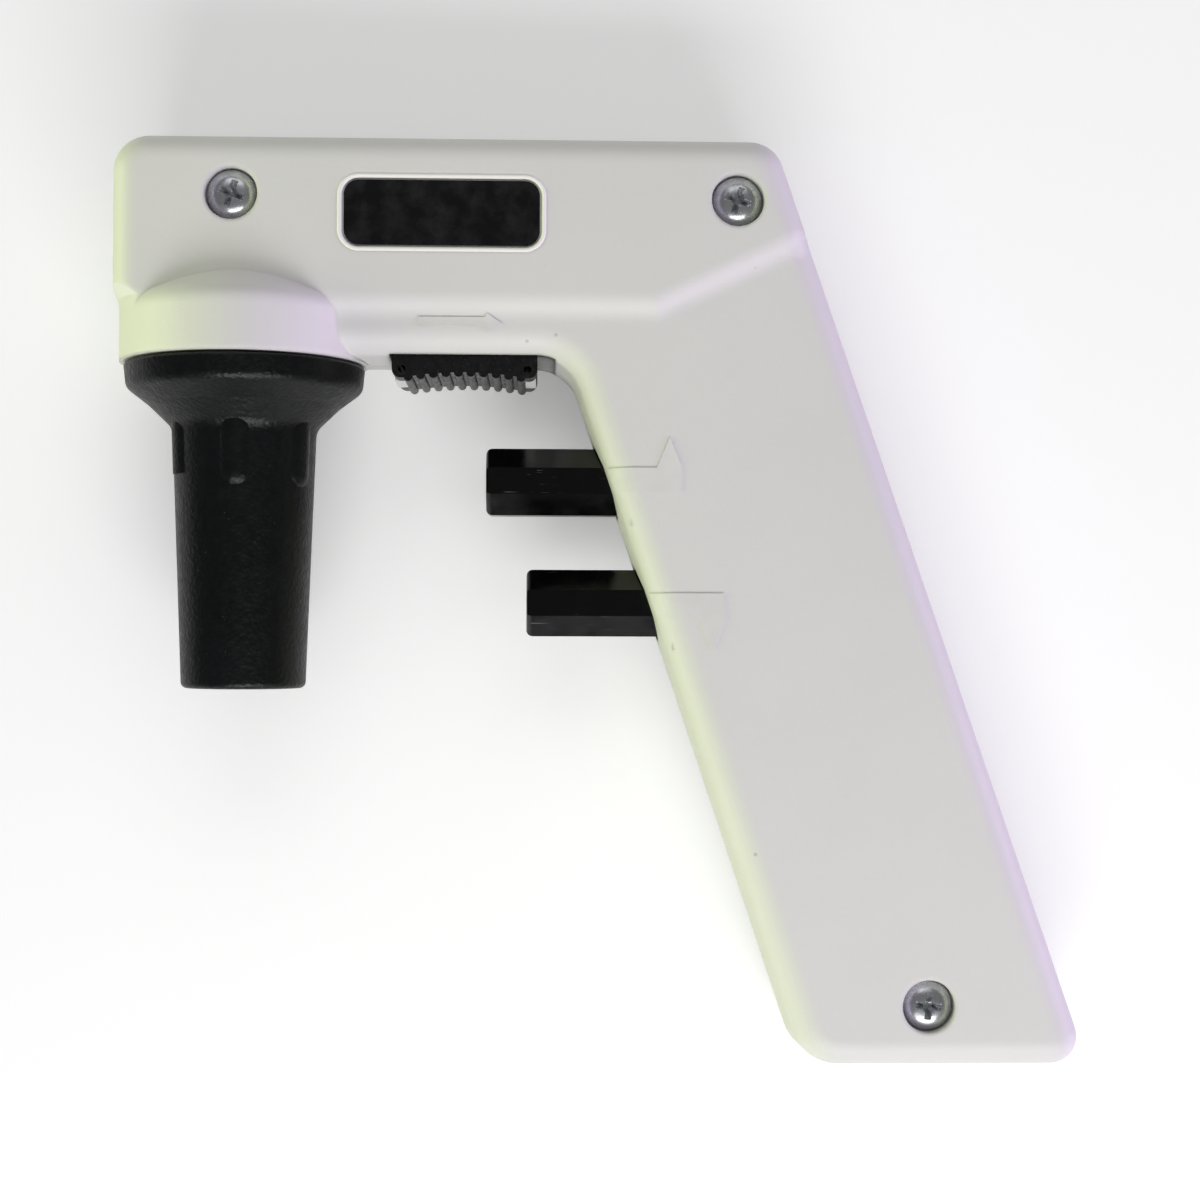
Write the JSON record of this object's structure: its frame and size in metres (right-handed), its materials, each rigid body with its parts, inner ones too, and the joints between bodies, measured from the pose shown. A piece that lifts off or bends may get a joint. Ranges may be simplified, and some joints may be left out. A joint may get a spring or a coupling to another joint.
{
  "type": "pipette pump",
  "caption": "Pistol-grip powered pipette pump with a screw-off nosepiece, sprung aspirate and dispense buttons, a mode slide and its valve block and pump inside",
  "frame": {"origin": "bottom centre of the bounding box: the part lies on its side, with the lowest line of the round nose boss at z = 0", "axes": "+X from the nose to the back of the handle, +Y from the foot of the handle to the top of the barrel, +Z through the thickness towards the side with the screw heads"},
  "size_m": [0.1362, 0.1304, 0.0354],
  "materials": {
    "housing_plastic": "fine leather-grained moulded ABS, warm off-white",
    "nose_plastic": "satin black polypropylene with a fine moulded grain",
    "button_plastic": "polished black plastic with fine scratches",
    "slide_plastic": "black moulded plastic, ridged",
    "plate_black": "smooth black plate",
    "screw_zinc": "bright zinc-plated steel",
    "pin_steel": "dark spring steel",
    "brass": "turned brass",
    "silicone": "translucent white silicone",
    "seal_rubber": "black nitrile rubber",
    "white_acetal": "natural white acetal",
    "stem_steel": "ground stainless steel",
    "spring_steel": "spring steel wire",
    "motor_steel": "zinc-plated motor can",
    "pump_plastic": "dark glass-filled plastic",
    "cell_wrap": "plain blue shrink wrap",
    "nickel": "nickel strip",
    "board_green": "green circuit board",
    "switch_plastic": "black switch case"
  },
  "bodies": {
    "housing": {"near_shell": "housing_plastic", "far_shell": "housing_plastic", "side_plate": "plate_black", "housing_screws": "screw_zinc", "thread_inserts": "brass", "nose_fitting": "white_acetal", "nose_seal": "seal_rubber", "valve_block": "white_acetal", "valve_plugs": "brass", "nose_tube": "silicone", "suction_tube": "silicone", "pressure_tube": "silicone", "drive_motor": "motor_steel", "crankcase": "pump_plastic", "diaphragm": "seal_rubber", "pump_head": "pump_plastic", "battery_cells": "cell_wrap", "battery_straps": "nickel", "charging_jack": "switch_plastic", "jack_pin": "pin_steel", "switch_board": "board_green", "button_switches": "switch_plastic", "aspirate_leaf": "spring_steel", "dispense_leaf": "spring_steel", "mode_switch": "switch_plastic", "aspirate_spring": "spring_steel", "dispense_spring": "spring_steel"},
    "holder_stack": {"pipette_holder": "silicone", "nose_filter": "white_acetal"},
    "nosepiece": {"nosepiece": "nose_plastic"},
    "aspirate_button": {"aspirate_button": "button_plastic", "aspirate_stem": "stem_steel", "aspirate_rings": "seal_rubber"},
    "dispense_button": {"dispense_button": "button_plastic", "dispense_stem": "stem_steel", "dispense_rings": "seal_rubber"},
    "mode_slide": {"mode_slide": "slide_plastic", "slide_carriage": "white_acetal", "slide_pins": "pin_steel", "switch_knob": "switch_plastic"},
    "crank": {"motor_shaft": "stem_steel", "eccentric": "brass"},
    "pump_rod": {"connecting_rod": "white_acetal"}
  },
  "joints": [
    {"name": "nosepiece_travel", "type": "slide", "parent": "housing", "child": "holder_stack", "axis": [0, -1, 0], "range_m": [0, 0.0075]},
    {"name": "nosepiece_turn", "type": "hinge", "parent": "holder_stack", "child": "nosepiece", "pos_m": [-0.05045, 0.03385, 0.0177], "axis": [0, -1, 0], "range_deg": [0, 1080]},
    {"name": "aspirate_press", "type": "slide", "parent": "housing", "child": "aspirate_button", "axis": [1, 0, 0], "range_m": [0, 0.005], "stiffness_N_per_m": 250, "springref_m": -0.004, "deforming": ["aspirate_spring", "aspirate_leaf"]},
    {"name": "dispense_press", "type": "slide", "parent": "housing", "child": "dispense_button", "axis": [1, 0, 0], "range_m": [0, 0.005], "stiffness_N_per_m": 250, "springref_m": -0.004, "deforming": ["dispense_spring", "dispense_leaf"]},
    {"name": "mode_select", "type": "slide", "parent": "housing", "child": "mode_slide", "axis": [1, 0, 0], "range_m": [0, 0.0022]},
    {"name": "crank_spin", "type": "hinge", "parent": "housing", "child": "crank", "pos_m": [-0.01115, 0.04655, 0.0159], "axis": [-1, 0, 0], "continuous": true},
    {"name": "rod_stroke", "type": "slide", "parent": "housing", "child": "pump_rod", "axis": [0, 1, 0], "range_m": [-0.0007, 0.0007], "deforming": ["diaphragm"]}
  ],
  "couplings": [
    {"joint": "nosepiece_travel", "follows": "nosepiece_turn", "m_per_rad": 0.00039789}
  ]
}
